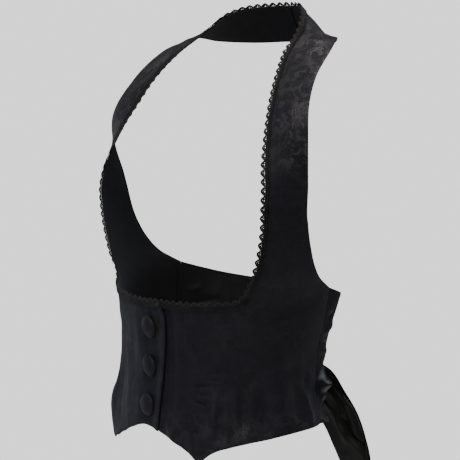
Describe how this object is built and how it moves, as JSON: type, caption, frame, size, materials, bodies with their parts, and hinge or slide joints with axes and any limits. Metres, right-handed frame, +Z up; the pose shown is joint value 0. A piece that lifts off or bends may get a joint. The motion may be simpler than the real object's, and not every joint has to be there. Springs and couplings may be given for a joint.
{
  "type": "halter vest",
  "caption": "Cropped halter vest with a deep U neckline edged in scalloped lace, a buttoned overlapping front, a laced satin back and a waist bow, in its hollow worn form.",
  "frame": {"origin": "between the two halter straps, on the garment's middle plane, level with the tops of the shoulders that hold it up", "axes": "+Z up as worn, the wearer faces -Y, +X towards the wearer's left"},
  "size_m": [0.3566, 0.2512, 0.5396],
  "materials": {
    "jacquard": "black tone-on-tone jacquard with a soft gloss on its motifs",
    "satin": "black satin",
    "lace": "matte black cotton lace",
    "button_cloth": "domed buttons covered in the black jacquard",
    "ribbon": "black satin ribbon"
  },
  "bodies": {
    "root": {"front_left": "jacquard", "front_right": "jacquard", "back_left": "satin", "back_right": "satin", "lace_left": "lace", "lace_right": "lace", "button_top": "button_cloth", "button_middle": "button_cloth", "button_bottom": "button_cloth", "lacing_bar": "ribbon", "lacing_under_1": "ribbon", "lacing_over_1": "ribbon", "lacing_under_2": "ribbon", "lacing_over_2": "ribbon", "lacing_under_3": "ribbon", "lacing_over_3": "ribbon", "bow_knot": "satin", "bow_loop_left": "satin", "bow_loop_right": "satin", "bow_tail_left": "satin", "bow_tail_right": "satin"}
  },
  "joints": []
}
